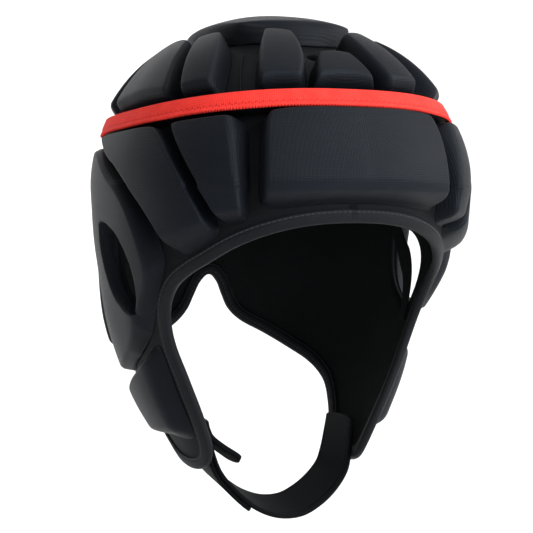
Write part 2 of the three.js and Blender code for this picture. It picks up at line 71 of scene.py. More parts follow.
def through(values, place):
    """Smooth curve through equally spaced rows: a cubic with slopes from the neighbours."""
    values = np.asarray(values, float)
    last = len(values) - 1
    index = np.clip(np.floor(place).astype(int), 0, last - 1)
    u = place - index
    b = values[index]
    c = values[index + 1]
    a = np.where(index > 0, values[np.maximum(index - 1, 0)], 2 * b - c)
    d = np.where(index + 2 <= last, values[np.minimum(index + 2, last)], 2 * c - b)
    square = (2 * a - 5 * b + 4 * c - d) * u ** 2
    cube = (3 * b - a - 3 * c + d) * u ** 3
    return 0.5 * (2 * b + (c - a) * u + square + cube)


def form_point(azimuth, level):
    """Point of the head form: rings are superellipses with separate front and back reaches.

    Azimuth is 0 at the front and +90 at the wearer's left. Level runs from 0 at the crown
    point to 1 at the widest ring and on down. Lengths are in millimetres.
    """
    azimuth, level = np.broadcast_arrays(
        np.asarray(azimuth, float), np.asarray(level, float))
    crown = np.clip(level, 0, 1)
    angle = np.radians(90 * crown)
    spread = np.sin(angle) ** (2 / CROWN_ROUNDNESS)
    rise = np.maximum(np.cos(angle), 0) ** (2 / CROWN_ROUNDNESS)
    below = np.maximum(level - 1, 0)
    place = below * 4
    upper = level <= 1
    width = HALF_WIDTH * np.where(upper, spread, through(RINGS[:, 0], place))
    front = FRONT_REACH * np.where(upper, spread, through(RINGS[:, 1], place))
    rear = BACK_REACH * np.where(upper, spread, through(RINGS[:, 2], place))
    shift = np.where(upper, CROWN_SHIFT * (1 - crown), through(RINGS[:, 3], place))
    power = 2 / np.where(upper, PLAN_ROUNDNESS, through(RINGS[:, 4], place))
    side = np.sin(np.radians(azimuth))
    ahead = np.cos(np.radians(azimuth))
    reach = np.where(ahead > 0, front, rear)
    x = width * np.sign(side) * np.abs(side) ** power
    y = shift - CROWN_SHIFT - reach * np.sign(ahead) * np.abs(ahead) ** power
    z = -CROWN_DEPTH * (1 - rise) - WALL_DEPTH * below + SHELL_THICKNESS
    return np.stack([x, y, z], -1)


def form_normal(azimuth, level):
    """Outward normal of the head form, from small steps along the chart."""
    place = np.maximum(level, 0.02)
    across = form_point(azimuth + 0.4, place) - form_point(azimuth - 0.4, place)
    down = form_point(azimuth, place + 0.004) - form_point(azimuth, place - 0.004)
    normal = np.cross(down, across)
    return normal / np.linalg.norm(normal, axis=-1, keepdims=True)


def offset_point(azimuth, level, distance):
    """Point at a distance outside (positive) or inside the shell's outer face."""
    azimuth, level, distance = np.broadcast_arrays(
        np.asarray(azimuth, float), np.asarray(level, float), np.asarray(distance, float))
    return form_point(azimuth, level) + form_normal(azimuth, level) * distance[..., None]


def to_chart(chart, corner):
    """Flat place of an azimuth and level: side by side, or as polar ones on the crown."""
    azimuth, level = corner
    if chart == "wall":
        return np.array([azimuth / DEGREES_PER_LEVEL, level])
    turn = math.radians(azimuth)
    return np.array([level * math.sin(turn), level * math.cos(turn)])


def from_chart(chart, p, q):
    """Azimuth and level of a flat place, the way back from to_chart."""
    if chart == "wall":
        return p * DEGREES_PER_LEVEL, q
    return np.degrees(np.arctan2(p, q)), np.hypot(p, q)


# Columns: azimuth of the edge, its level, azimuth of the column at the crown
EDGE = np.array([
    [0, 1.13, 0], [13, 1.14, 12], [26, 1.17, 24], [38, 1.215, 35], [49, 1.275, 45],
    [57, 1.32, 53], [63, 1.37, 60], [66, 1.44, 65], [66.5, 1.52, 69], [65.5, 1.6, 72],
    [62.5, 1.71, 75], [61, 1.81, 78], [61.5, 1.9, 81], [64, 1.99, 84], [71, 2.05, 88],
    [85, 2.07, 93], [99, 2.05, 98], [108, 1.99, 103], [114, 1.89, 109], [121, 1.79, 116],
    [131, 1.715, 126], [143, 1.655, 137], [156, 1.59, 148], [166, 1.54, 158],
    [171.5, 1.49, 166], [174.5, 1.43, 171], [177, 1.37, 175.5], [180, 1.335, 180],
])
EDGE_STEPS = 7
SHELL_ROWS = 104
VENT_LEVEL = 0.405
VENT_HALF_LENGTH = 4.5
VENT_HALF_WIDTH = 5.5
LEAF_TOP = (97, 1.13)
LEAF_BOTTOM = (80.5, 1.47)
LEAF_HALF_WIDTH = 11.0
LEAF_CLEARANCE = 0.3
HOLE_STEPS = 120
LINT_SCALE = 900
PATCH_SCALE = 26


def edge_loop(steps):
    """Smooth closed edge: the left half, then its mirror image; azimuth runs on past 180."""
    half = np.array(EDGE, float)
    mirror = half[1:-1][::-1] * np.array([-1, 1, -1]) + np.array([360, 0, 360])
    loop = np.concatenate([half, mirror, half[:2] + np.array([360, 0, 360])])
    start = half[1:2] * np.array([-1, 1, -1])
    rows = np.concatenate([start, loop])
    count = (len(half) * 2 - 2) * steps
    place = 1 + np.arange(count) / steps
    return np.stack([through(rows[:, k], place) for k in range(3)], -1)


def leaf_outline(share, margin=0.0):
    """Leaf with pointed ends: sin * |sin|**0.55 across, cos along its axis."""
    top, bottom = to_chart("wall", LEAF_TOP), to_chart("wall", LEAF_BOTTOM)
    axis = bottom - top
    length = np.linalg.norm(axis)
    unit = axis / length
    angle = np.radians(360 * share - 135)
    along = np.cos(angle) * (length / 2 + margin / LEVEL_LENGTH)
    across = np.sin(angle) * np.abs(np.sin(angle)) ** 0.55
    across = across * (LEAF_HALF_WIDTH + margin) / LEVEL_LENGTH
    middle = (top + bottom) / 2
    return (middle[0] + unit[0] * along + unit[1] * across,
            middle[1] + unit[1] * along - unit[0] * across)


def snap_holes(azimuth, level, outlines):
    """Marks points inside each outline and moves the ones just outside onto it."""
    inside = np.zeros(azimuth.shape, dtype=bool)
    for chart, loop_p, loop_q in outlines:
        wrapped = (azimuth + 180) % 360 - 180
        if chart == "wall":
            p, q = wrapped / DEGREES_PER_LEVEL, level
        else:
            turn = np.radians(wrapped)
            p, q = level * np.sin(turn), level * np.cos(turn)
        near = (np.abs(p - loop_p.mean()) < 0.3) & (np.abs(q - loop_q.mean()) < 0.35)
        place = np.stack([p[near], q[near]], -1)
        loop = np.stack([loop_p, loop_q], -1)
        ahead = np.roll(loop, -1, 0)
        a, b = loop[None], ahead[None]
        crosses = (a[..., 1] > place[:, None, 1]) != (b[..., 1] > place[:, None, 1])
        slope = (b[..., 0] - a[..., 0]) / np.where(b[..., 1] == a[..., 1], 1, b[..., 1] - a[..., 1])
        hits = place[:, None, 0] < a[..., 0] + (place[:, None, 1] - a[..., 1]) * slope
        within = (crosses & hits).sum(1) % 2 == 1
        mask = np.zeros(azimuth.shape, dtype=bool)
        mask[near] = within
        ring = np.zeros_like(mask)
        for axis in (0, 1):
            for step in (-1, 1):
                ring |= np.roll(mask, step, axis)
        for i in (-1, 1):
            for j in (-1, 1):
                ring |= np.roll(np.roll(mask, i, 0), j, 1)
        ring &= ~mask
        spots = np.stack([p[ring], q[ring]], -1)
        span = ahead - loop
        offset = spots[:, None] - loop[None]
        share = np.clip((offset * span[None]).sum(-1) / (span ** 2).sum(-1)[None], 0, 1)
        close = loop[None] + share[..., None] * span[None]
        best = np.linalg.norm(spots[:, None] - close, axis=-1).argmin(1)
        snapped = close[np.arange(len(spots)), best]
        new_azimuth, new_level = from_chart(chart, snapped[:, 0], snapped[:, 1])
        turns = np.round((azimuth[ring] - new_azimuth) / 360) * 360
        azimuth[ring] = new_azimuth + turns
        level[ring] = new_level
        inside |= mask
    return inside


def grid_quads(columns, rows, closed=False):
    """Quads of a grid of points, numbered column by column."""
    spans = columns if closed else columns - 1
    i, j = np.meshgrid(np.arange(spans), np.arange(rows - 1), indexing="ij")
    n = (i + 1) % columns
    quads = np.stack([i * rows + j, i * rows + j + 1, n * rows + j + 1, n * rows + j], -1)
    return quads.reshape(-1, 4)


def enclosed(points, quads):
    """Six times the volume that the quads enclose, below zero where they face inward."""
    a, b, c, d = (points[quads[:, k]] for k in range(4))
    return np.einsum("ij,ij->", a, np.cross(b, c)) + np.einsum("ij,ij->", a, np.cross(c, d))


def outward(points, quads):
    """The quads, turned round if the closed surface faces inward."""
    return quads if enclosed(points, quads) > 0 else quads[:, ::-1]


def weave_map(azimuth, level):
    """Millimetres round the cap and down it, so that the wales of the knit run down."""
    return np.stack([azimuth / DEGREES_PER_LEVEL * LEVEL_LENGTH, level * LEVEL_LENGTH], -1)


def make_piece(name, points, faces, uv, materials, replaces=(), lined=()):
    """Object from points in millimetres, with a weave map in millimetres, riding on the cap.

    Faces marked in lined take the second material.
    """
    mesh = bpy.data.meshes.new(name)
    mesh.from_pydata((points / 1000).tolist(), [], faces)
    layer = mesh.uv_layers.new(name="weave")
    corners = np.empty(len(mesh.loops), dtype=np.int32)
    mesh.loops.foreach_get("vertex_index", corners)
    layer.data.foreach_set("uv", (uv[corners] / 1000).astype(np.float32).ravel())
    mesh.polygons.foreach_set("use_smooth", np.ones(len(mesh.polygons), dtype=bool))
    for material in materials:
        mesh.materials.append(material)
    if len(lined):
        mesh.polygons.foreach_set("material_index", np.asarray(lined, dtype=np.int32))
    mesh.validate()
    piece = bpy.data.objects.new(name, mesh)
    bpy.context.scene.collection.objects.link(piece)
    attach(piece, "root")
    if replaces:
        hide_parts(*replaces)
    return piece


def new_material(name):
    """New material, its node tree and its main shader."""
    material = bpy.data.materials.new(name)
    material.use_nodes = True
    return material, material.node_tree, material.node_tree.nodes["Principled BSDF"]


def add_node(tree, kind, **settings):
    """New node of a kind, with its settings."""
    node = tree.nodes.new(kind)
    for key, value in settings.items():
        setattr(node, key, value)
    return node


def add_math(tree, operation, first, second=None):
    """Output of a sum on numbers or sockets."""
    node = add_node(tree, "ShaderNodeMath", operation=operation)
    for index, value in enumerate((first, second)):
        if value is None:
            continue
        if isinstance(value, (int, float)):
            node.inputs[index].default_value = value
        else:
            tree.links.new(value, node.inputs[index])
    return node.outputs[0]


def add_noise(tree, scale, detail=None, place=None):
    """Output of soft noise at a scale, on a place where one is given."""
    noise = add_node(tree, "ShaderNodeTexNoise")
    noise.inputs["Scale"].default_value = scale
    if detail is not None:
        noise.inputs["Detail"].default_value = detail
    if place is not None:
        tree.links.new(place, noise.inputs["Vector"])
    return noise.outputs["Fac"]


def weave_axes(tree):
    """Places along and across the weave map."""
    weave = add_node(tree, "ShaderNodeUVMap", uv_map="weave")
    split = add_node(tree, "ShaderNodeSeparateXYZ")
    tree.links.new(weave.outputs[0], split.inputs[0])
    return split.outputs[0], split.outputs[1]


def add_colour_mix(tree, share, first, second):
    """Colour from the first, a value or a socket, to the second by a share."""
    colour = add_node(tree, "ShaderNodeMix", data_type="RGBA")
    if isinstance(first, tuple):
        colour.inputs[6].default_value = (*first, 1)
    else:
        tree.links.new(first, colour.inputs[6])
    colour.inputs[7].default_value = (*second, 1)
    tree.links.new(share, colour.inputs[0])
    return colour.outputs[2]


def add_bump(tree, shader, height, strength, distance):
    """Height of the surface, fed to the shader's normal."""
    bump = add_node(tree, "ShaderNodeBump")
    bump.inputs["Strength"].default_value = strength
    bump.inputs["Distance"].default_value = distance
    tree.links.new(height, bump.inputs["Height"])
    tree.links.new(bump.outputs[0], shader.inputs["Normal"])


def knit_group():
    """Height of a fine knit: wales across the map's first axis, courses along the second."""
    tree = bpy.data.node_groups.new("knit", "ShaderNodeTree")
    tree.interface.new_socket("Pitch", in_out="INPUT", socket_type="NodeSocketFloat")
    tree.interface.new_socket("Height", in_out="OUTPUT", socket_type="NodeSocketFloat")
    tree.interface.new_socket("Lint", in_out="OUTPUT", socket_type="NodeSocketFloat")
    given = add_node(tree, "NodeGroupInput")
    out = add_node(tree, "NodeGroupOutput")
    along, across = weave_axes(tree)
    turns = add_math(tree, "DIVIDE", 2 * math.pi, given.outputs["Pitch"])
    wale = add_math(tree, "SINE", add_math(tree, "MULTIPLY", along, turns))
    rows = add_math(tree, "MULTIPLY", add_math(tree, "MULTIPLY", across, turns), 1.4)
    course = add_math(tree, "SINE", add_math(tree, "ADD", rows, add_math(
        tree, "MULTIPLY", wale, 1.2)))
    both = add_math(tree, "ADD", add_math(tree, "ABSOLUTE", wale), add_math(
        tree, "MULTIPLY", course, 0.45))
    tree.links.new(both, out.inputs["Height"])
    place = add_node(tree, "ShaderNodeTexCoord").outputs["Object"]
    tree.links.new(add_noise(tree, LINT_SCALE, 3, place), out.inputs["Lint"])
    return tree


knit = knit_group()


def fabric_material(name, dark, light, roughness, sheen, pitch, depth):
    """Knit cloth: colour between dark and light by soft patches, lint and a painted highlight on the
    pad rims.
    """
    material, tree, shader = new_material(name)
    place = add_node(tree, "ShaderNodeTexCoord").outputs["Object"]
    patches = add_noise(tree, PATCH_SCALE, 4, place)
    group = add_node(tree, "ShaderNodeGroup", node_tree=knit)
    group.inputs["Pitch"].default_value = pitch
    # Painted highlight: the colour is lighter where a pad's rim bends over, by the point attribute
    # set in finish_pad.
    painted_rim_highlight = add_node(tree, "ShaderNodeAttribute", attribute_name="painted_rim_highlight")
    share = add_math(tree, "MULTIPLY", patches, 0.45)
    share = add_math(tree, "ADD", share, add_math(tree, "MULTIPLY", group.outputs["Lint"], 0.35))
    share = add_math(tree, "ADD", share, add_math(tree, "MULTIPLY", painted_rim_highlight.outputs["Fac"], 0.4))
    share = add_math(tree, "ADD", share, add_math(
        tree, "MULTIPLY", group.outputs["Height"], 0.12))
    tree.links.new(add_colour_mix(tree, share, dark, light), shader.inputs["Base Color"])
    shader.inputs["Roughness"].default_value = roughness
    shader.inputs["Sheen Weight"].default_value = sheen
    shader.inputs["Sheen Roughness"].default_value = 0.45
    shader.inputs["Specular IOR Level"].default_value = 0.09
    shader.inputs["Specular Tint"].default_value = (0.8, 0.9, 1.0, 1)
    add_bump(tree, shader, group.outputs["Height"], 0.6, depth)
    return material


groove_fabric = fabric_material(
    "groove_fabric", (0.0007, 0.0008, 0.001), (0.0032, 0.0037, 0.0048), 0.6, 0.0, 0.0011, 0.0001)
lining = fabric_material(
    "lining", (0.002, 0.0022, 0.0022), (0.008, 0.0088, 0.0086), 0.85, 0.0, 0.0016, 0.00015)


def make_shell():
    """Two faces of the same grid, with quads left out over the holes and hems round them."""
    loop = edge_loop(EDGE_STEPS)
    rows = SHELL_ROWS
    share = 1 - (1 - np.arange(1, rows + 1) / rows) ** 1.1
    azimuth = mix(loop[:, None, 2], loop[:, None, 0], share[None] ** 5)
    level = loop[:, None, 1] * share[None]
    ring = np.arange(HOLE_STEPS) / HOLE_STEPS
    left = leaf_outline(ring, LEAF_CLEARANCE)
    turn = 2 * math.pi * ring
    vent = (np.sin(turn) * VENT_HALF_WIDTH / LEVEL_LENGTH,
            VENT_LEVEL + np.cos(turn) * VENT_HALF_LENGTH / LEVEL_LENGTH)
    outlines = [("wall", left[0], left[1]), ("wall", -left[0], left[1]), ("crown", *vent)]
    inside = snap_holes(azimuth, level, outlines)
    columns = len(loop)
    outer = offset_point(azimuth, level, 0.0).reshape(-1, 3)
    inner = offset_point(azimuth, level, -SHELL_THICKNESS).reshape(-1, 3)
    apex = offset_point(np.array([0.0, 0.0]), np.array([0.0, 0.0]),
                        np.array([0.0, -SHELL_THICKNESS]))
    points = np.concatenate([outer, inner, apex])
    count = columns * rows
    grid = grid_quads(columns, rows, closed=True)
    keep = ~inside.ravel()[grid].any(1)
    grid = grid[keep]
    # Border edges: those of one kept quad only
    pairs = np.concatenate([grid[:, [k, (k + 1) % 4]] for k in range(4)])
    keys = np.sort(pairs, 1)
    _, first, uses = np.unique(keys, axis=0, return_index=True, return_counts=True)
    border = pairs[first[uses == 1]]
    top_row = np.arange(columns) * rows
    on_top = np.isin(border, top_row).all(1)
    border = border[~on_top]
    hems = np.stack([border[:, 1], border[:, 0], border[:, 0] + count, border[:, 1] + count], -1)
    around = np.roll(top_row, -1)
    fans = [(2 * count, int(b), int(a)) for a, b in zip(top_row, around)]
    fans += [(2 * count + 1, int(a) + count, int(b) + count) for a, b in zip(top_row, around)]
    quads = np.concatenate([grid, grid[:, ::-1] + count, hems])
    if enclosed(points, quads) < 0:
        quads = quads[:, ::-1]
        fans = [fan[::-1] for fan in fans]
    used = np.zeros(len(points), dtype=bool)
    used[quads.ravel()] = True
    used[2 * count:] = True
    number = np.cumsum(used) - 1
    uv = np.concatenate([weave_map(azimuth, level).reshape(-1, 2)] * 2 + [np.zeros((2, 2))])
    lined = np.zeros(len(quads) + len(fans), dtype=np.int32)
    lined[len(grid):2 * len(grid)] = 1
    lined[-columns:] = 1
    faces = number[quads].tolist() + [tuple(number[k] for k in fan) for fan in fans]
    make_piece("shell_cloth", points[used], faces, uv[used], (groove_fabric, lining), ("shell",),
               lined)


make_shell()

# Padding
# Each pad is soft foam under stretched knit, fixed to the shell. It is a four-sided patch
# with bowed sides, whose top rises with a fillet, bends over at the rim and stays nearly flat.
FIT = 0.15
RIM_ROWS = 10
GRID_SPACING = 1.1
WAVE_DEPTH = 0.22
WAVE_SIZE = 9.0
# Rise and spread of the painted highlight along the bend of each pad rim.
HIGHLIGHT_RISE = 0.93
HIGHLIGHT_SPREAD = 0.08
pad_fabric = fabric_material(
    "pad_fabric", (0.001, 0.0012, 0.0017), (0.0048, 0.006, 0.009), 0.42, 0.006, 0.0011, 0.00014)


def side_points(start, end, middle, bulge, share):
    """Points along one side of a pad, bowed away from its middle by a parabola."""
    across = np.array([end[1] - start[1], start[0] - end[0]])
    out = (start + end) / 2 - middle
    turn = -1 if across @ out < 0 else 1
    push = turn * bulge * 4 * share * (1 - share)
    return mix(start, end, share[..., None]) + across * push[..., None]


def patch_points(corners, bulges, chart, u, v):
    """Coons patch: the sum of the two ruled surfaces less the bilinear one."""
    a, b, c, d = (to_chart(chart, corner) for corner in corners)
    middle = (a + b + c + d) / 4
    top = side_points(a, b, middle, bulges[0], u)
    bottom = side_points(d, c, middle, bulges[2], u)
    left = side_points(a, d, middle, bulges[3], v)
    rear = side_points(b, c, middle, bulges[1], v)
    u, v = u[..., None], v[..., None]
    sides = mix(top, bottom, v) + mix(left, rear, u)
    chart_place = sides - mix(mix(a, b, u), mix(d, c, u), v)
    return chart_place[..., 0], chart_place[..., 1]


def rounded_square(u, v, cut=0.09):
    """Pulls the corners of the unit square in by the cut, leaving its sides straight."""
    x = 2 * u - 1
    y = 2 * v - 1
    return (0.5 + 0.5 * x * (1 - cut * np.abs(y) ** 6),
            0.5 + 0.5 * y * (1 - cut * np.abs(x) ** 6))


def rim_rise(distance, edge):
    """0 at the outline to 1 at the edge distance: a fillet, a steep side, a rounded bend."""
    share = np.clip(distance / edge, 0, 1)
    return (1 - (1 - share) ** 2.6) ** 1.6


def rim_stations(length, edge):
    """Shares across a pad, close together over the rims."""
    rim = edge * (np.arange(RIM_ROWS) / RIM_ROWS) / length
    count = max(int((length - 2 * edge) / GRID_SPACING), 4)
    inside = np.linspace(edge / length, 1 - edge / length, count + 1)
    return np.concatenate([rim, inside, 1 - rim[::-1]])


def pad_span(corners, bulges, chart, start, end):
    """Straight distance on the head form between two places of a pad."""
    ends = [from_chart(chart, *patch_points(
        corners, bulges, chart, np.array(u * 1.0), np.array(v * 1.0))) for u, v in (start, end)]
    return float(np.linalg.norm(form_point(*ends[0]) - form_point(*ends[1])))


def soft_wave(points):
    """Shallow uneven swell of cloth over foam: three crossed waves, in millimetres."""
    x, y, z = (points[..., k] / WAVE_SIZE for k in range(3))
    crossed = np.sin(x + 1.7 * np.sin(y * 0.8)) + np.sin(1.3 * y - z + 0.9)
    return WAVE_DEPTH * (crossed + np.sin(1.6 * z + 0.7 * x + 2.1)) / 3


def finish_pad(name, azimuth, level, height, rise, within, closed):
    """Closed pad: a top grid, lifted by height times rise, and an under grid on its outline.

    A painted highlight is lightest where the rim bends over, near the full height.
    """
    height = height + soft_wave(form_point(azimuth, level))
    top = offset_point(azimuth, level, FIT + height * rise)
    under = offset_point(azimuth, level, FIT)
    points = np.concatenate([top.reshape(-1, 3), under[within]])
    columns, rows = within.shape
    below = np.arange(columns * rows).reshape(columns, rows)
    below[within] = columns * rows + np.arange(within.sum())
    upper_quads = grid_quads(columns, rows, closed)
    under_quads = below.ravel()[upper_quads][:, ::-1]
    quads = outward(points, np.concatenate([upper_quads, under_quads]))
    uv = weave_map(azimuth, level)
    uv = np.concatenate([uv.reshape(-1, 2), uv[within]])
    piece = make_piece(name + "_foam", points, quads.tolist(), uv, (pad_fabric,), (name,))
    # Painted highlight on the rim bend, kept as a point attribute for the pad cloth.
    painted_rim_highlight = np.exp(-((rise - HIGHLIGHT_RISE) / HIGHLIGHT_SPREAD) ** 2)
    painted_rim_highlight = np.concatenate([painted_rim_highlight.ravel(), 0 * painted_rim_highlight[within]])
    attribute = piece.data.attributes.new("painted_rim_highlight", "FLOAT", "POINT")
    attribute.data.foreach_set("value", painted_rim_highlight.astype(np.float32))


def make_pad(name, pad, mirror):
    """Four-sided pad: each side has its own slope, and the middle is puffed or dished."""
    corners, bulges, chart = pad["corners"], pad["bulges"], pad["chart"]
    front_edge, rear_edge, top_edge, bottom_edge = pad["edges"]
    grow_front, grow_rear, grow_top, grow_bottom = pad["grow"]
    long = pad_span(corners, bulges, chart, (0, 0.5), (1, 0.5))
    tall = pad_span(corners, bulges, chart, (0.5, 0), (0.5, 1))
    whole_long = long + grow_front + grow_rear
    whole_tall = tall + grow_top + grow_bottom
    along = rim_stations(whole_long, min(front_edge, rear_edge))
    down = rim_stations(whole_tall, min(top_edge, bottom_edge))
    s, t = np.meshgrid(along, down, indexing="ij")
    rise = rim_rise(s * whole_long, front_edge)
    rise = rise * rim_rise((1 - s) * whole_long, rear_edge)
    rise = rise * rim_rise(t * whole_tall, top_edge)
    rise = rise * rim_rise((1 - t) * whole_tall, bottom_edge)
    x, y = rounded_square(s, t)
    u = (x * whole_long - grow_front) / long
    v = (y * whole_tall - grow_top) / tall
    azimuth, level = from_chart(chart, *patch_points(corners, bulges, chart, u, v))
    x, y = 2 * x - 1, 2 * y - 1
    reach = np.maximum(np.abs(x), np.abs(y))
    crown = pad["puff"] * (1 - x ** 2) * (1 - y ** 2)
    height = pad["height"] + crown - pad["dish"] * (1 - reach ** 2)
    within = np.zeros(s.shape, dtype=bool)
    within[1:-1, 1:-1] = True
    finish_pad(name, azimuth * mirror, level, height, rise, within, False)


# Corners run upper front, upper rear, lower rear, lower front, as azimuth and level.
# Bulges push each side outward. Edges are the slope widths and grow is how far the foam
# swells past the corners, both in the order front, rear, top and bottom.
PADS = [
    dict(name="front_pad", chart="wall", height=11.5, puff=0.5, dish=1.5,
         edges=(6.4, 6.4, 3.6, 12.7), grow=(0.8, 0.8, 0.8, 1.2),
         corners=[(-29.5, 0.742), (29.5, 0.742), (31, 1.1), (-31, 1.1)],
         bulges=[0.02, 0, -0.06, 0]),
    dict(name="temple_pad", chart="wall", height=10.5, puff=0.8, dish=0,
         edges=(6.4, 4.2, 3.5, 9.4), grow=(0.8, 1, 1, 1.4),
         corners=[(35.5, 0.757), (65.5, 0.783), (42.5, 1.14), (34, 1.125)],
         bulges=[0, 0, 0, 0]),
    dict(name="side_pad", chart="wall", height=10.5, puff=0.6, dish=0,
         edges=(4.8, 4.7, 3.5, 14.4), grow=(0.9, 1.3, 1.5, 1.9),
         corners=[(67.5, 0.789), (106, 0.808), (60, 1.255), (44, 1.17)],
         bulges=[0, -0.05, 0, 0.02]),
    dict(name="cheek_pad", chart="wall", height=7, puff=0.8, dish=0,
         edges=(14.4, 6.3, 4.7, 11), grow=(1.4, 0.3, 1.2, 0.5),
         corners=[(72.5, 1.58), (112, 1.765), (103.5, 1.945), (69.5, 1.95)],
         bulges=[-0.03, 0, 0, 0.02]),
    dict(name="back_pad", chart="wall", height=11, puff=0.8, dish=0,
         edges=(5.7, 5, 3.5, 6.4), grow=(0.7, 1, 1.8, 0.9),
         corners=[(124, 0.83), (174.5, 0.83), (172.5, 1.15), (122.5, 1.2)],
         bulges=[0, 0, 0, 0]),
    dict(name="nape_pad", chart="wall", height=10, puff=0.8, dish=0,
         edges=(5.7, 5.7, 5.7, 8), grow=(0.7, 0.7, 0.7, 0.5),
         corners=[(122.5, 1.255), (172, 1.205), (169.5, 1.38), (123.5, 1.655)],
         bulges=[0, 0, 0.08, 0.02]),
    dict(name="crown_front_pad", chart="crown", height=10.5, puff=0.6, dish=0,
         edges=(5.3, 5.3, 5.4, 7.7), grow=(0.9, 0.9, 1.4, 0.7),
         corners=[(-5, 0.475), (5, 0.475), (11, 0.656), (-11, 0.656)],
         bulges=[0.1, 0.04, -0.06, 0.04]),
    dict(name="crown_inner_pad", chart="crown", height=11.5, puff=0.8, dish=0,
         edges=(5.3, 5.1, 6.4, 7.7), grow=(0.9, 1.6, 1.9, 0.7),
         corners=[(13, 0.35), (31, 0.325), (31, 0.667), (14, 0.658)],
         bulges=[0.05, 0.02, -0.04, 0.1]),
    dict(name="crown_side_pad", chart="crown", height=11.5, puff=0.8, dish=0,
         edges=(6, 5.2, 6.1, 6.7), grow=(1, 1, 1.6, 0.7),
         corners=[(56, 0.34), (75, 0.375), (62.5, 0.695), (46.5, 0.68)],
         bulges=[0.06, 0.04, -0.04, 0.05]),
    dict(name="crown_rear_side_pad", chart="crown", height=11, puff=0.8, dish=0,
         edges=(5.2, 5.3, 5.4, 7), grow=(1, 0.9, 1.4, 0.5),
         corners=[(84, 0.36), (106, 0.36), (101, 0.73), (66.5, 0.7)],
         bulges=[0.06, 0.02, 0.02, 0]),
    dict(name="crown_back_side_pad", chart="crown", height=11, puff=0.8, dish=0,
         edges=(5.3, 5.3, 5.4, 7.7), grow=(0.9, 0.9, 0.9, 0.2),
         corners=[(115, 0.375), (141, 0.375), (137, 0.743), (105.5, 0.73)],
         bulges=[0.05, 0, 0.03, 0.02]),
    dict(name="crown_back_pad", chart="crown", height=11, puff=0.8, dish=0,
         edges=(5.3, 6.1, 5.4, 7.7), grow=(0.9, 0.5, 0.9, 0.2),
         corners=[(150, 0.35), (174.5, 0.345), (177.6, 0.743), (141.5, 0.743)],
         bulges=[0, 0, 0.02, 0]),
    dict(name="crown_top_pad", chart="crown", height=11.5, puff=0.4, dish=0.5,
         edges=(9, 9, 9.7, 9), grow=(0.5, 0.5, 0.2, 0.5),
         corners=[(-57, 0.285), (57, 0.285), (122, 0.34), (-122, 0.34)],
         bulges=[0.3, 0.12, 0.18, 0.12]),
]
SINGLE = ("front_pad", "crown_front_pad", "crown_top_pad")

for pad in PADS:
    if pad["name"] in SINGLE:
        make_pad(pad["name"], pad, 1)
    else:
        make_pad(pad["name"] + "_L", pad, 1)
        make_pad(pad["name"] + "_R", pad, -1)

# Ear pads
# Each is a ring of the same foam and knit between its outline and the leaf-shaped ear
# opening, thinner toward the jaw and with a long slope at its front.
EAR_HEIGHT = 10.0
EAR_THINNING = 3.5
EAR_EDGE = 5.9
EAR_FRONT_SLOPE = 16.0
EAR_HOLE_EDGE = 5.0
EAR_GROW = 0.8
EAR_STEPS = 288
EAR_CORNERS = [(118, 0.79), (67, 1.27), (75, 1.545), (115, 1.735)]
EAR_BULGES = [0.09, 0, 0.04, 0.01]


def ear_outline(share):
    """Closed outline of the ear pad on the chart, by share of the way round."""
    side = np.floor(share * 4).astype(int) % 4
    along = share * 4 - np.floor(share * 4)
    u = np.choose(side, [along, 1 + 0 * along, 1 - along, 0 * along])
    v = np.choose(side, [0 * along, along, 1 + 0 * along, 1 - along])
    return patch_points(EAR_CORNERS, EAR_BULGES, "wall", *rounded_square(u, v))


def make_ear_pad(name, mirror):
    """Ring-shaped pad: rows run from the outline to the opening."""
    around = EAR_STEPS
    share = np.arange(around) / around
    rows = np.concatenate([np.linspace(0, 0.3, 14)[:-1], np.linspace(0.3, 0.75, 14)[:-1],
                           np.linspace(0.75, 1, 14)])
    outer = np.stack(ear_outline(share), -1)
    inner = np.stack(leaf_outline(share), -1)
    reach = np.linalg.norm(outer - inner, axis=-1, keepdims=True)
    outer = outer + (outer - inner) / reach * EAR_GROW / LEVEL_LENGTH
    chart = outer[:, None] + (inner - outer)[:, None] * rows[None, :, None]
    azimuth, level = from_chart("wall", chart[..., 0], chart[..., 1])
    gap = np.linalg.norm(form_point(*from_chart("wall", outer[:, 0], outer[:, 1]))
                         - form_point(*from_chart("wall", inner[:, 0], inner[:, 1])), axis=-1)
    slope = EAR_EDGE + EAR_FRONT_SLOPE * np.exp(-((share - 0.36) / 0.15) ** 2)
    rise = rim_rise(rows[None] * gap[:, None], slope[:, None])
    rise = rise * rim_rise((1 - rows[None]) * gap[:, None], EAR_HOLE_EDGE)
    low = np.clip((level - 1.1) / 0.4, 0, 1)
    height = EAR_HEIGHT - EAR_THINNING * low ** 2 * (3 - 2 * low)
    within = np.zeros((around, len(rows)), dtype=bool)
    within[:, 1:-1] = True
    finish_pad(name, azimuth * mirror, level, height, rise, within, True)


make_ear_pad("ear_pad_L", 1)
make_ear_pad("ear_pad_R", -1)

# Edge binding
# A folded cloth strip is sewn over the whole edge of the shell, with a stitched groove along
# both flanks.
BINDING_WIDTH = 6.0
BINDING_THICKNESS = 1.1
BINDING_GAP = 0.15
BINDING_STEPS = 10
STITCH_PITCH = 0.0026
STITCH_HEIGHT = 3.0
# Painted highlight: the stitch rows are this many times the cloth's light colour, where the stitched
# grooves catch the light.
STITCH_HIGHLIGHT_LIGHTNESS = 2.6
THREAD_HALF_WIDTH = 0.00035


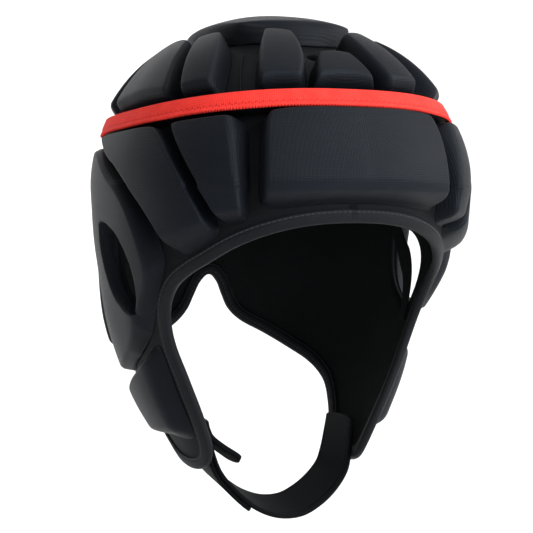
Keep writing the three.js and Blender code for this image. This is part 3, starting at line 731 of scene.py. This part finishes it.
def stitch_group():
    """Mask of one sewn row: dashes along the map's first axis at a place on its second."""
    tree = bpy.data.node_groups.new("stitch_row", "ShaderNodeTree")
    for name in ("Centre", "Pitch", "Zigzag"):
        tree.interface.new_socket(name, in_out="INPUT", socket_type="NodeSocketFloat")
    tree.interface.new_socket("Mask", in_out="OUTPUT", socket_type="NodeSocketFloat")
    given = add_node(tree, "NodeGroupInput")
    out = add_node(tree, "NodeGroupOutput")
    along, across = weave_axes(tree)
    turns = add_math(tree, "DIVIDE", 2 * math.pi, given.outputs["Pitch"])
    wave = add_math(tree, "SINE", add_math(tree, "MULTIPLY", along, turns))
    slant = add_math(tree, "SINE", add_math(tree, "MULTIPLY", add_math(
        tree, "MULTIPLY", along, turns), 0.5))
    sway = add_math(tree, "MULTIPLY", slant, given.outputs["Zigzag"])
    place = add_math(tree, "ADD", across, sway)
    away = add_math(tree, "ABSOLUTE", add_math(tree, "SUBTRACT", place, given.outputs["Centre"]))
    near = add_math(tree, "LESS_THAN", away, THREAD_HALF_WIDTH)
    dash = add_math(tree, "GREATER_THAN", wave, -0.45)
    tree.links.new(add_math(tree, "MULTIPLY", near, dash), out.inputs["Mask"])
    return tree


stitch_row = stitch_group()


def add_stitches(tree, rows, pitch, zigzag=0.0):
    """Joined mask of several sewn rows at the given places across the strip, in metres."""
    total = 0.0
    for centre in rows:
        row = add_node(tree, "ShaderNodeGroup", node_tree=stitch_row)
        row.inputs["Centre"].default_value = centre
        row.inputs["Pitch"].default_value = pitch
        row.inputs["Zigzag"].default_value = zigzag
        total = add_math(tree, "ADD", row.outputs["Mask"], total)
    return total


def sew(material, rows, stitch_highlight_colour):
    """Adds rows of raised stitches to a cloth, at places across the strip in metres; the stitches
    are real, their pale colour is a painted highlight.
    """
    tree = material.node_tree
    shader = tree.nodes["Principled BSDF"]
    cloth = shader.inputs["Base Color"].links[0].from_socket
    height = shader.inputs["Normal"].links[0].from_node.inputs["Height"]
    mask = add_stitches(tree, rows, STITCH_PITCH)
    # The pale stitch colour is a painted highlight on the real stitches.
    painted_stitch_colour = add_colour_mix(tree, mask, cloth, stitch_highlight_colour)
    tree.links.new(painted_stitch_colour, shader.inputs["Base Color"])
    raised = add_math(tree, "MULTIPLY", mask, STITCH_HEIGHT)
    tree.links.new(add_math(tree, "ADD", height.links[0].from_socket, raised), height)


binding_light = (0.009, 0.0096, 0.0115)
binding_fabric = fabric_material(
    "binding_fabric", (0.0016, 0.0018, 0.0021), binding_light, 0.5, 0.01, 0.0009, 0.0001)
# The binding's stitch rows carry a painted highlight.
sew(binding_fabric, (0.0016, 0.0133), tuple(STITCH_HIGHLIGHT_LIGHTNESS * c for c in binding_light))


def chart_step(azimuth, level, direction):
    """Change of azimuth and level that moves one millimetre in a direction."""
    a = (form_point(azimuth + 1, level) - form_point(azimuth - 1, level)) / 2
    b = (form_point(azimuth, level + 0.01) - form_point(azimuth, level - 0.01)) / 0.02
    aa, ab, bb = (a * a).sum(-1), (a * b).sum(-1), (b * b).sum(-1)
    ad, bd = (a * direction).sum(-1), (b * direction).sum(-1)
    whole = aa * bb - ab * ab
    return (ad * bb - bd * ab) / whole, (bd * aa - ad * ab) / whole


def binding_section():
    """Half round fold at the edge, flanks that swell a little, a groove at the stitches."""
    flank = np.linspace(BINDING_WIDTH, 0.6, 12)
    swell = BINDING_THICKNESS * (0.75 + 0.25 * np.sin(math.pi * flank / BINDING_WIDTH))
    swell -= 0.45 * np.exp(-((flank - 4.6) / 0.45) ** 2)
    swell[0] = 0.25
    out = np.stack([flank, BINDING_GAP + swell], -1)
    middle = -SHELL_THICKNESS / 2
    radius = middle * -1 + BINDING_GAP + swell[-1]
    turn = np.linspace(math.pi / 2, -math.pi / 2, 11)[1:-1]
    fold = np.stack([0.6 - radius * 0.8 * np.cos(turn), middle + radius * np.sin(turn)], -1)
    back_flank = out[::-1] * np.array([1, -1]) + np.array([0, 2 * middle])
    inside = np.array([
        [BINDING_WIDTH, -SHELL_THICKNESS - BINDING_GAP],
        [-BINDING_GAP, -SHELL_THICKNESS - BINDING_GAP],
        [-BINDING_GAP, BINDING_GAP],
        [BINDING_WIDTH, BINDING_GAP],
    ])
    return np.concatenate([out, fold, back_flank, inside])


def tube_quads(rings, points_round, closed):
    """Quads between rings of points, ring by ring; closed joins the last ring to the first."""
    numbers = np.arange(rings * points_round).reshape(rings, points_round)
    start = numbers if closed else numbers[:-1]
    end = np.roll(numbers, -1, 0) if closed else numbers[1:]
    quads = np.stack([start, np.roll(start, -1, 1), np.roll(end, -1, 1), end], -1)
    return quads.reshape(-1, 4)


def make_tube(name, points, along, across, closed, material, replaces):
    """Strip from rings of points, with its weave map along it and across it."""
    flat = points.reshape(-1, 3)
    quads = outward(flat, tube_quads(*points.shape[:2], closed))
    uv = np.stack(np.broadcast_arrays(along[:, None], across[None]), -1).reshape(-1, 2)
    return make_piece(name, flat, quads.tolist(), uv, (material,), replaces)


def make_binding():
    """The folded section carried along the edge, square to it and lying on the shell."""
    loop = edge_loop(BINDING_STEPS)
    azimuth, level = loop[:, 0], loop[:, 1]
    here = form_point(azimuth, level)
    ahead = np.roll(here, -1, 0) - np.roll(here, 1, 0)
    ahead /= np.linalg.norm(ahead, axis=-1, keepdims=True)
    normal = form_normal(azimuth, level)
    inward = np.cross(normal, ahead)
    inward /= np.linalg.norm(inward, axis=-1, keepdims=True)
    step = chart_step(azimuth, level, inward)
    section = binding_section()
    width, height = section[:, 0], section[:, 1]
    points = offset_point(azimuth[:, None] + step[0][:, None] * width,
                          level[:, None] + step[1][:, None] * width, height[None] + 0 * width)
    lengths = np.linalg.norm(here - np.roll(here, 1, 0), axis=-1)
    along = np.cumsum(lengths) - lengths[0]
    across = np.concatenate([[0], np.cumsum(np.linalg.norm(np.diff(section, axis=0), axis=-1))])
    make_tube("binding_strip", points, along, across, True, binding_fabric, ("face_binding",))


make_binding()

# Tape
# A ribbed elastic tape is sewn round the whole cap on its hidden foam bed. Its lower edge is
# scalloped, and a row of stitches runs along its lower half.
TAPE_WIDTH = 9.0
TAPE_THICKNESS = 1.5
BED_WIDTH = 6.6
BED_HEIGHT = 7.4
BED_LOW = 0.2
CAD_FIT = 0.6
TAPE_STEPS = 1900
BED_STEPS = 360
SCALLOP = 0.35
SCALLOP_PITCH = 1.5
RIB_PITCH = 0.0009
TAPE_PATCH_SCALE = 160
DARK_RED = (0.58, 0.022, 0.016)
LIGHT_RED = (0.84, 0.052, 0.04)
STITCH_SHADOW_RED = (0.42, 0.014, 0.012)


def tape_material():
    """Red elastic: fine cross ribs, and a row of stitches along the lower half drawn as darker
    dashes, a painted shadow in the stitch dents.
    """
    material, tree, shader = new_material("red_tape")
    along, across = weave_axes(tree)
    rib = add_math(tree, "SINE", add_math(tree, "MULTIPLY", along, 2 * math.pi / RIB_PITCH))
    place = add_node(tree, "ShaderNodeTexCoord").outputs["Object"]
    patches = add_noise(tree, TAPE_PATCH_SCALE, place=place)
    share = add_math(tree, "ADD", add_math(tree, "MULTIPLY", rib, 0.16), add_math(
        tree, "MULTIPLY", patches, 0.7))
    colour = add_colour_mix(tree, share, DARK_RED, LIGHT_RED)
    # The stitches are darker dashes of painted shadow where the thread sinks into the tape.
    mask = add_stitches(tree, (0.0023,), 0.0016, 0.0005)
    painted_stitch_colour = add_colour_mix(tree, mask, colour, STITCH_SHADOW_RED)
    tree.links.new(painted_stitch_colour, shader.inputs["Base Color"])
    shader.inputs["Roughness"].default_value = 0.7
    shader.inputs["Specular IOR Level"].default_value = 0.1
    add_bump(tree, shader, rib, 0.5, 0.0001)
    return material


red_tape = tape_material()


def tape_level(azimuth):
    """Level of the tape's middle, lower at the back than at the brow."""
    turn = (1 - np.cos(np.radians(azimuth))) / 2
    return 0.696 + 0.158 * turn - 0.09 * turn ** 2


def hoop(name, steps, section, scallop, material, node):
    """Closed ring of a section given as drop below the tape's middle and height, in mm."""
    azimuth = 360 * np.arange(steps) / steps
    drop = np.asarray(section, float)[:, 0]
    height = np.asarray(section, float)[:, 1]
    here = offset_point(azimuth, tape_level(azimuth), 8.0)
    lengths = np.linalg.norm(here - np.roll(here, 1, 0), axis=-1)
    along = np.cumsum(lengths)
    wave = scallop * np.abs(np.sin(math.pi * along / SCALLOP_PITCH))[:, None]
    wave = wave * (drop > drop.max() - 0.5)
    level = tape_level(azimuth)[:, None] + (drop + wave) / LEVEL_LENGTH
    points = offset_point(azimuth[:, None] + 0 * level, level, height[None] + 0 * level)
    return make_tube(name, points, along, drop, True, material, (node,))


def tape_section():
    """Raised ribs over the upper half, a stitch channel in the lower half, thin edges."""
    drop = np.linspace(-TAPE_WIDTH / 2, TAPE_WIDTH / 2, 46)
    low = BED_HEIGHT + CAD_FIT
    ribs = 0.22 * np.abs(np.sin(math.pi * (drop + TAPE_WIDTH / 2) / 1.45)) * (drop < 0.6)
    channel = -0.3 * np.exp(-((drop - 2.3) / 0.5) ** 2)
    edge = np.minimum(1, (TAPE_WIDTH / 2 - np.abs(drop)) / 0.5 + 0.35)
    top = low + TAPE_THICKNESS * edge * 0.9 + ribs + channel
    outer = np.stack([drop, top], -1)
    return np.concatenate([outer, [[TAPE_WIDTH / 2, low], [-TAPE_WIDTH / 2, low]]])


hoop("red_band", TAPE_STEPS, tape_section(), SCALLOP, red_tape, "tape_band")
bed_section = [[-BED_WIDTH / 2, BED_LOW], [-BED_WIDTH / 2 + 0.6, BED_HEIGHT - 0.4],
               [-BED_WIDTH / 2 + 1.4, BED_HEIGHT], [BED_WIDTH / 2 - 1.4, BED_HEIGHT],
               [BED_WIDTH / 2 - 0.6, BED_HEIGHT - 0.4], [BED_WIDTH / 2, BED_LOW]]
bed = hoop("band_bed", BED_STEPS, bed_section, 0.0, groove_fabric, "tape_bed")

# Ear bridges
# A narrow cloth bar crosses each ear opening, sewn to the inner face of the shell at both
# ends.
BRIDGE_WIDTH = 8.0
BRIDGE_THICKNESS = 1.4
BRIDGE_GAP = 0.2


def strip_piece(name, points, material, node, along):
    """Closed strip from rings of points, each end drawn in to the middle of its last ring."""
    rows = points.shape[1]
    centre_start = points[0].mean(0, keepdims=True).repeat(rows, 0)
    centre_end = points[-1].mean(0, keepdims=True).repeat(rows, 0)
    points = np.concatenate([centre_start[None], points, centre_end[None]])
    along = np.concatenate([along[:1], along, along[-1:]])
    middle = points[points.shape[0] // 2]
    around = np.linalg.norm(middle - np.roll(middle, 1, 0), axis=-1)
    make_tube(name, points, along, np.cumsum(around), False, material, (node,))


def make_bridge(name, node, mirror):
    """Rounded flat section carried from above the opening to below it."""
    top, bottom = to_chart("wall", LEAF_TOP), to_chart("wall", LEAF_BOTTOM)
    share = np.linspace(-0.16, 1.16, 60)
    middle = top + (bottom - top) * share[:, None]
    angle = np.linspace(0, 2 * math.pi, 24, endpoint=False)
    across = np.sign(np.cos(angle)) * np.abs(np.cos(angle)) ** 0.45 * BRIDGE_WIDTH / 2
    depth = np.sign(np.sin(angle)) * np.abs(np.sin(angle)) ** 0.45 * BRIDGE_THICKNESS / 2
    depth = depth - SHELL_THICKNESS - BRIDGE_GAP - BRIDGE_THICKNESS / 2
    azimuth = (middle[:, :1] + across / LEVEL_LENGTH) * DEGREES_PER_LEVEL
    level = middle[:, 1:] + 0 * across
    points = offset_point(azimuth * mirror, level, depth[None] + 0 * across)
    strip_piece(name, points, lining, node, share * 60)


make_bridge("bridge_L", "ear_bridge_L", 1)
make_bridge("bridge_R", "ear_bridge_R", -1)

# Chin strap
# Wide flat webbing runs from inside the left flap under the chin to inside the right flap,
# with the closing patch outside its right end and a free round-tipped tab. Columns: x, y, z.
STRAP_WIDTH = 28.0
STRAP_THICKNESS = 2.6
PATCH_THICKNESS = 2.0
TAB_WIDTH = 12.0
TAB_THICKNESS = 3.0
PATCH_GAP = 0.3
STRAP_TILT = 16
TAB_TILT = 14
STRAP_STEPS = 561
STRAP_START = 46
PATCH_START = 360
TAB_STEPS = 90
STRAP_PATH = np.array([
    [45.6, 4, -185.5], [44.4, 3, -197.5], [42.3, 2, -209.5], [39.6, 0, -219.5],
    [35.5, -3, -227.5], [27, -7, -235], [17, -10, -241], [6, -12, -245], [-6, -12, -245],
    [-17, -10, -241], [-26, -7, -234], [-33.5, -3, -225.5], [-37.2, 0, -217],
    [-39.6, 2, -207.5], [-41.4, 3, -197.5],
])
TAB_PATH = np.array([
    [-37.9, 2, -200.5], [-36.4, 1, -207.5], [-31, -1, -213], [-25, -3, -217.5],
    [-20, -4.5, -221],
])

strap_light = (0.0026, 0.0029, 0.0034)
strap_fabric = fabric_material(
    "strap_fabric", (0.0005, 0.0006, 0.0007), strap_light, 0.7, 0.0, 0.0013, 0.00015)
# The strap's stitch rows carry a painted highlight.
sew(strap_fabric, (0.0026, 0.0254, 0.0312, 0.054),
    tuple(STITCH_HIGHLIGHT_LIGHTNESS * c for c in strap_light))


def smooth_path(path, steps):
    """Points along the smooth curve through the chosen ones."""
    place = np.linspace(0, len(path) - 1, steps)
    return np.stack([through(path[:, k], place) for k in range(3)], -1)


def strap_tilt(share):
    """Degrees that the strap leans under the chin, its rear edge the higher one."""
    return STRAP_TILT * np.sin(math.pi * share) ** 1.5


def make_strap(name, path, node, width, thickness, shift, tip, tilt):
    """Flat webbing with rounded edges and a stitch groove near each edge."""
    along = np.gradient(path, axis=0)
    along[:, 1] = 0
    along /= np.linalg.norm(along, axis=-1, keepdims=True)
    flat_out = np.stack([-along[:, 2], 0 * along[:, 0], along[:, 0]], -1)
    lean = np.radians(tilt)[:, None]
    rearward = np.array([[0.0, 1.0, 0.0]])
    out = flat_out * np.cos(lean) + rearward * np.sin(lean)
    wide = rearward * np.cos(lean) - flat_out * np.sin(lean)
    centre = path + out * shift
    lengths = np.linalg.norm(np.diff(path, axis=0), axis=-1)
    place = np.concatenate([[0], np.cumsum(lengths)])
    left = np.minimum(place, place[-1] - place)
    narrow = np.sqrt(np.clip(1 - (1 - np.clip(left / tip, 0, 1)) ** 2, 0.04, 1))
    side = np.concatenate([np.linspace(-1, 1, 40), np.linspace(1, -1, 40)])
    face = np.concatenate([np.ones(40), -np.ones(40)])
    edge_distance = (1 - np.abs(side)) * width / 2
    thick = thickness / 2 * np.sqrt(np.clip(1 - (1 - np.clip(edge_distance / 1.2, 0, 1)) ** 2, 0, 1))
    thick = thick - 0.22 * np.exp(-((edge_distance - 2.6) / 0.45) ** 2)
    points = centre[:, None] + out[:, None] * (face * thick)[None, :, None]
    reach = (side * width / 2)[None] * narrow[:, None]
    points = points + wide[:, None] * reach[..., None]
    strip_piece(name, points, strap_fabric, node, place)


strap_share = np.linspace(0, 1, STRAP_STEPS)
strap_line = smooth_path(STRAP_PATH, STRAP_STEPS)
make_strap("chin_strap_web", strap_line[STRAP_START::2], "chin_strap", STRAP_WIDTH,
           STRAP_THICKNESS, 0.0, 2.0, strap_tilt(strap_share[STRAP_START::2]))
make_strap("strap_patch_web", strap_line[PATCH_START:], "strap_patch", STRAP_WIDTH + 1,
           PATCH_THICKNESS, (STRAP_THICKNESS + PATCH_THICKNESS) / 2 + PATCH_GAP, 3.0,
           strap_tilt(strap_share[PATCH_START:]))
make_strap("strap_tab_web", smooth_path(TAB_PATH, TAB_STEPS), "strap_tab", TAB_WIDTH,
           TAB_THICKNESS, 0.0, 6.0, np.linspace(0, TAB_TILT, TAB_STEPS))

# Crown seams
# A fine raised thread seam runs down each wide vent groove of the crown, just clear of the
# cloth.
SEAM_HEIGHT = 0.6
SEAM_RADIUS = 0.45
SEAM_STEPS = 90


def make_seam(name, mirror):
    """Round section carried down the groove, from the vent toward the tape."""
    share = np.linspace(0, 1, SEAM_STEPS)
    level = mix(0.4, 0.68, share)
    azimuth = mix(43.0, 38.0, share) * mirror
    angle = np.linspace(0, 2 * math.pi, 10, endpoint=False)
    across = np.cos(angle) * 0.5 / LEVEL_LENGTH * DEGREES_PER_LEVEL / 0.75
    points = offset_point(azimuth[:, None] + across, level[:, None] + 0 * across,
                          SEAM_HEIGHT + SEAM_RADIUS * np.sin(angle)[None] + 0 * azimuth[:, None])
    make_tube(name, points, share * 40, angle * 0.5, False, binding_fabric, ())


make_seam("groove_seam_L", 1)
make_seam("groove_seam_R", -1)

# Camera
# It looks at the cap from the wearer's front right, almost level with it, from far enough
# away to flatten it as the photo does.
CAMERA_AZIMUTH = math.radians(-25)
CAMERA_ELEVATION = math.radians(1)
CAMERA_DISTANCE = 0.9
VIEW_WIDTH = 533 * 0.00053
CAMERA_TARGET_SIDE = -0.006
CAMERA_TARGET_HEIGHT = -0.1185
CAMERA_TARGET_FORWARD = -0.01

right = np.array([math.cos(CAMERA_AZIMUTH), math.sin(CAMERA_AZIMUTH), 0.0])
back = np.array([
    math.sin(CAMERA_AZIMUTH) * math.cos(CAMERA_ELEVATION),
    -math.cos(CAMERA_AZIMUTH) * math.cos(CAMERA_ELEVATION),
    math.sin(CAMERA_ELEVATION),
])
target = right * CAMERA_TARGET_SIDE
target += np.array([0.0, CAMERA_TARGET_FORWARD, CAMERA_TARGET_HEIGHT])
camera_data = bpy.data.cameras.new("camera")
camera_data.sensor_width = 36.0
camera_data.lens = 36.0 * CAMERA_DISTANCE / VIEW_WIDTH
camera_data.clip_end = 50.0
camera = bpy.data.objects.new("camera", camera_data)
camera.location = target + back * CAMERA_DISTANCE
camera.rotation_euler = (math.pi / 2 - CAMERA_ELEVATION, 0.0, CAMERA_AZIMUTH)
bpy.context.scene.collection.objects.link(camera)
bpy.context.scene.camera = camera

# Floor and light
# A pale curved sweep stands under and behind the cap. Soft boxes light the cap from the
# front, above and one side, and one more lights the sweep.
FLOOR_LEVEL = -0.33
WORLD_LIGHT = 0.75


def make_sweep():
    """Flat floor that bends up a quarter circle into a wall."""
    depth = np.concatenate([np.linspace(-3.0, 1.6, 8), 1.6 + np.sin(
        np.linspace(0.1, math.pi / 2, 12)) * 1.2, np.full(5, 2.8)])
    height = np.concatenate([np.zeros(8), 1.2 - np.cos(
        np.linspace(0.1, math.pi / 2, 12)) * 1.2, np.linspace(1.5, 4.0, 5)])
    across = np.linspace(-4, 4, 5)
    points = np.stack([
        np.broadcast_to(across[:, None], (5, len(depth))),
        np.broadcast_to(depth[None], (5, len(depth))),
        np.broadcast_to(height[None] + FLOOR_LEVEL, (5, len(depth))),
    ], -1).reshape(-1, 3)
    mesh = bpy.data.meshes.new("sweep")
    mesh.from_pydata(points.tolist(), [], grid_quads(5, len(depth)).tolist())
    mesh.polygons.foreach_set("use_smooth", np.ones(len(mesh.polygons), dtype=bool))
    material, tree, shader = new_material("pale_paper")
    shader.inputs["Base Color"].default_value = (0.92, 0.92, 0.92, 1)
    shader.inputs["Roughness"].default_value = 0.9
    add_bump(tree, shader, add_noise(tree, 400), 0.05, 0.0002)
    mesh.materials.append(material)
    sweep = bpy.data.objects.new("sweep", mesh)
    bpy.context.scene.collection.objects.link(sweep)


make_sweep()


def soft_box(name, place, size, power, aimed_at=(0.0, 0.0, -0.1)):
    """Square-cornered lamp turned so that it faces the aim."""
    data = bpy.data.lights.new(name, "AREA")
    data.shape = "RECTANGLE"
    data.size, data.size_y = size
    data.energy = power
    light = bpy.data.objects.new(name, data)
    light.location = place
    aim = np.array(aimed_at) - np.array(place)
    yaw = math.atan2(-aim[0], aim[1])
    tilt = math.atan2(math.hypot(aim[0], aim[1]), -aim[2])
    light.rotation_euler = (tilt, 0.0, yaw)
    bpy.context.scene.collection.objects.link(light)


soft_box("key_box", (0.6, -1.25, 0.5), (0.6, 0.6), 30.0)
soft_box("top_box", (0.4, -0.1, 1.5), (1.0, 0.8), 5.0)
soft_box("side_box", (1.4, -0.2, 0.4), (0.5, 0.9), 7.0)
soft_box("sweep_box", (0.6, 1.1, 1.5), (1.4, 0.6), 20.0, (0.9, 3.2, 0.3))
bpy.context.scene.view_settings.view_transform = "Standard"
world = bpy.data.worlds.new("studio")
world.use_nodes = True
world.node_tree.nodes["Background"].inputs["Color"].default_value = (1, 1, 1, 1)
world.node_tree.nodes["Background"].inputs["Strength"].default_value = WORLD_LIGHT
bpy.context.scene.world = world

bpy.context.view_layer.update()
